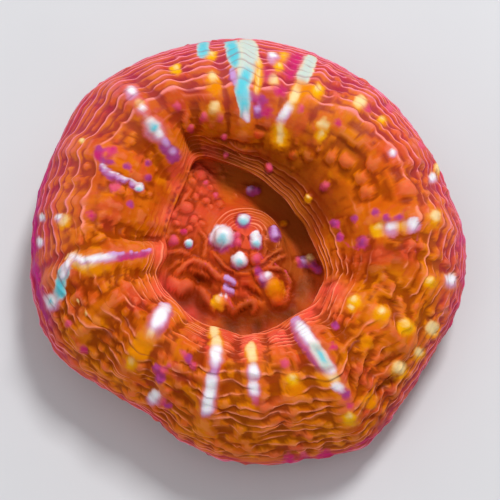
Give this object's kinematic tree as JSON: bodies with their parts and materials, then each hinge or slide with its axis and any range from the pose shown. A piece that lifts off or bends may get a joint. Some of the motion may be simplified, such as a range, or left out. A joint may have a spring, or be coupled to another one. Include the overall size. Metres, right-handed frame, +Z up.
{
  "type": "scolymia coral",
  "caption": "Round fleshy coral polyp: a thick creased ring round a sunken disc with a raised mouth, on a short stony base cut off flat to rest on.",
  "frame": {"origin": "on the flat cut under the base, straight below the mouth", "axes": "+Z up out of the disc; +X to the right and -Y towards the viewer as the coral is first seen"},
  "size_m": [0.0759, 0.0789, 0.0264],
  "materials": {
    "flesh": "satin"
  },
  "bodies": {
    "root": {"coral": "flesh"}
  },
  "joints": []
}
